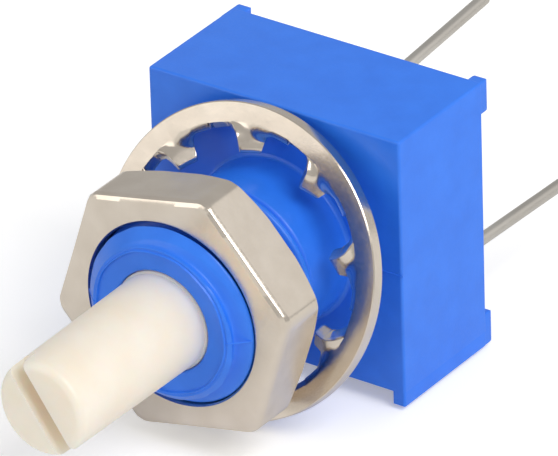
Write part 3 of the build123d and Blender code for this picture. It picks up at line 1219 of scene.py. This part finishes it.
@dataclass
class ResinFill:
    """Cast resin in the rear pocket, drawn up where it wets the walls and the pins."""

    wall_climb: float = 0.07
    wall_reach: float = 0.28
    pin_climb: float = 0.05
    pin_reach: float = 0.22
    sag: float = 0.04

    def shell(self) -> Shell:
        """The fill as a grid over the pocket, bent round to its flat front.

        The skin's depth is the fill level, less a sag that is largest in the middle,
        plus a climb that dies away exponentially with the distance from the walls and
        from each pin's collar. Squares inside squares make the rings, from the centre
        outwards, and the last two rings run forward and close the front.

        Returns:
            The fill's closed surface.
        """
        low, high = node_box("rear_seal")
        centre, half = (low + high) / 2, (high - low) / 2
        angle = ring_angles(160) + math.pi / 160
        square = np.stack([np.cos(angle), np.sin(angle)], -1)
        square /= np.abs(square).max(axis=-1, keepdims=True)
        scale = np.concatenate([np.linspace(0.01, 0.9, 44), np.linspace(0.92, 0.999, 14)])
        x = centre[0] + half[0] * scale[:, None] * square[None, :, 0]
        z = centre[2] + half[2] * scale[:, None] * square[None, :, 1]
        gap = np.minimum(half[0] - np.abs(x - centre[0]), half[2] - np.abs(z - centre[2]))
        level = high[1] - self.sag * (1 - scale[:, None] ** 2)
        level = level + self.wall_climb * np.exp(-gap / (self.wall_reach / 3))
        for mount in frame["record"]["mounts"]:
            if mount["name"].startswith("terminal"):
                point = np.asarray(mount["pos_m"]) / MM
                lean = np.asarray(mount["axis"]) / mount["axis"][1]
                root = point + lean * (high[1] - point[1])
                away = np.hypot(x - root[0], z - root[2]) - 0.38
                level = level + self.pin_climb * np.exp(-np.maximum(away, 0) / (self.pin_reach / 3))
        skin = np.stack([x, level, z], axis=-1)
        front = skin[-1:].copy()
        front[..., 1] = low[1]
        return Shell(np.concatenate([skin, front]))

    def make(self) -> None:
        """Build the fill in place of its CAD node."""
        piece = build("rear_seal_cast", [self.shell()])
        place(piece, CAST_EPOXY, "blue_resin", "base", "rear_seal")


class InnerParts(Enum):
    """Finishes of the CAD nodes that stay as they are."""

    shaft_seal = SILICONE_RUBBER
    wiper_contact = SPRING_ALLOY
    element_substrate = FIRED_ALUMINA
    resistive_track = CERMET_FILM
    collector_ring = SILVER_FILM
    end_conductor = SILVER_FILM
    solder_joint = COOLED_SOLDER

    @classmethod
    def dress_all(cls) -> None:
        """Dress every CAD node whose name starts with a member's name."""
        for name, node in frame["nodes"].items():
            for member, item in cls.__members__.items():
                if name.startswith(member):
                    dress(node, item.value)
                    LOG.info("%s keeps its CAD shape", name)


# ---------------------------------------------------------------- studio


@dataclass
class Studio:
    """Pale floor, soft light and the camera."""

    azimuth: float = 35.58
    elevation: float = 29.40
    roll: float = -1.78
    distance: float = 300.0
    lens: float = 614.7
    right: float = 0.077
    up: float = 0.282
    floor_drop: float = 0.02
    sky: float = 0.50
    key_power: float = 0.85
    fill_power: float = 0.22
    rear_power: float = 0.10

    def axes(self) -> tuple[Vector, Vector, Vector]:
        """Right, up and back directions of the rolled camera."""
        a, e, r = (math.radians(v) for v in (self.azimuth, self.elevation, self.roll))
        back = Vector((math.sin(a) * math.cos(e), -math.cos(a) * math.cos(e), math.sin(e)))
        right = Vector((math.cos(a), math.sin(a), 0.0))
        up = back.cross(right)
        return (
            math.cos(r) * right + math.sin(r) * up,
            -math.sin(r) * right + math.cos(r) * up,
            back,
        )

    def camera(self) -> None:
        """Set the camera, looking straight along its own back direction."""
        right, up, back = self.axes()
        data = bpy.data.cameras.new("camera")
        data.lens = self.lens
        data.sensor_width = 36.0
        data.clip_start = 0.01
        camera = bpy.data.objects.new("camera", data)
        spot = (back * self.distance + right * self.right + up * self.up) * MM
        turn = Matrix((right, up, back)).transposed().to_4x4()
        camera.matrix_world = Matrix.Translation(spot) @ turn
        bpy.context.scene.collection.objects.link(camera)
        bpy.context.scene.camera = camera

    def floor(self) -> None:
        """A wide pale floor just under the object."""
        low = CAD_BOX[0][2] - self.floor_drop * MM
        size = 1.5
        mesh = bpy.data.meshes.new("floor")
        corners = [(-size, -size, low), (size, -size, low), (size, size, low), (-size, size, low)]
        mesh.from_pydata(corners, [], [[0, 1, 2, 3]])
        floor = bpy.data.objects.new("floor", mesh)
        bpy.context.scene.collection.objects.link(floor)
        made = bpy.data.materials.new("matt_white_paper")
        made.use_nodes = True
        tree = made.node_tree
        tree.nodes.clear()
        paper = add(tree, "ShaderNodeBsdfDiffuse", {"Color": linear("#F4F4F3")})
        path = add(tree, "ShaderNodeLightPath", {})
        seen = add(
            tree,
            "ShaderNodeMath",
            {0: path.outputs["Is Camera Ray"], 1: 0.34},
            operation="MULTIPLY",
        )
        lift = add(tree, "ShaderNodeEmission", {"Strength": seen.outputs[0]})
        both = add(tree, "ShaderNodeAddShader", {0: paper.outputs[0], 1: lift.outputs[0]})
        add(tree, "ShaderNodeOutputMaterial", {"Surface": both.outputs[0]})
        mesh.materials.append(made)

    def lamp(
        self, name: str, spot: tuple[float, float, float], size: float, power: float, colour: str
    ) -> None:
        """Add one square soft light that looks at the object.

        Args:
            name: The lamp's name.
            spot: Its place, in millimetres.
            size: Its side, in millimetres.
            power: Its power, in watts.
            colour: Its colour as sRGB hex.
        """
        data = bpy.data.lights.new(name, "AREA")
        data.size = size * MM
        data.energy = power
        data.color = linear(colour)[:3]
        lamp = bpy.data.objects.new(name, data)
        lamp.location = Vector(spot) * MM
        lamp.rotation_euler = Vector(spot).to_track_quat("Z", "Y").to_euler()
        bpy.context.scene.collection.objects.link(lamp)

    def world(self) -> None:
        """An even white surround."""
        world = bpy.data.worlds.new("surround")
        bpy.context.scene.world = world
        world.use_nodes = True
        tree = world.node_tree
        tree.nodes.clear()
        sky = add(
            tree,
            "ShaderNodeBackground",
            {"Color": linear("#FFFFFF"), "Strength": self.sky},
        )
        add(tree, "ShaderNodeOutputWorld", {"Surface": sky.outputs[0]})

    def make(self) -> None:
        """Set up the whole stage."""
        self.camera()
        self.floor()
        self.world()
        self.lamp("key", (260.0, -60.0, 300.0), 220.0, self.key_power, "#FFFDFA")
        self.lamp("rear", (215.0, 285.0, 180.0), 300.0, self.rear_power, "#FFFCF8")
        self.lamp("fill", (-220.0, -320.0, 120.0), 240.0, self.fill_power, "#FFFAF4")
        bpy.context.scene.view_settings.view_transform = "Standard"


def main() -> None:
    """Build the stage and every piece."""
    logging.basicConfig(level=logging.INFO, format="%(message)s")
    Studio().make()
    Housing().make()
    Shaft().make()
    LockWasher().make()
    HexNut().make()
    Terminals().make()
    ResinFill().make()
    InnerParts.dress_all()


if __name__ == "__main__":
    main()
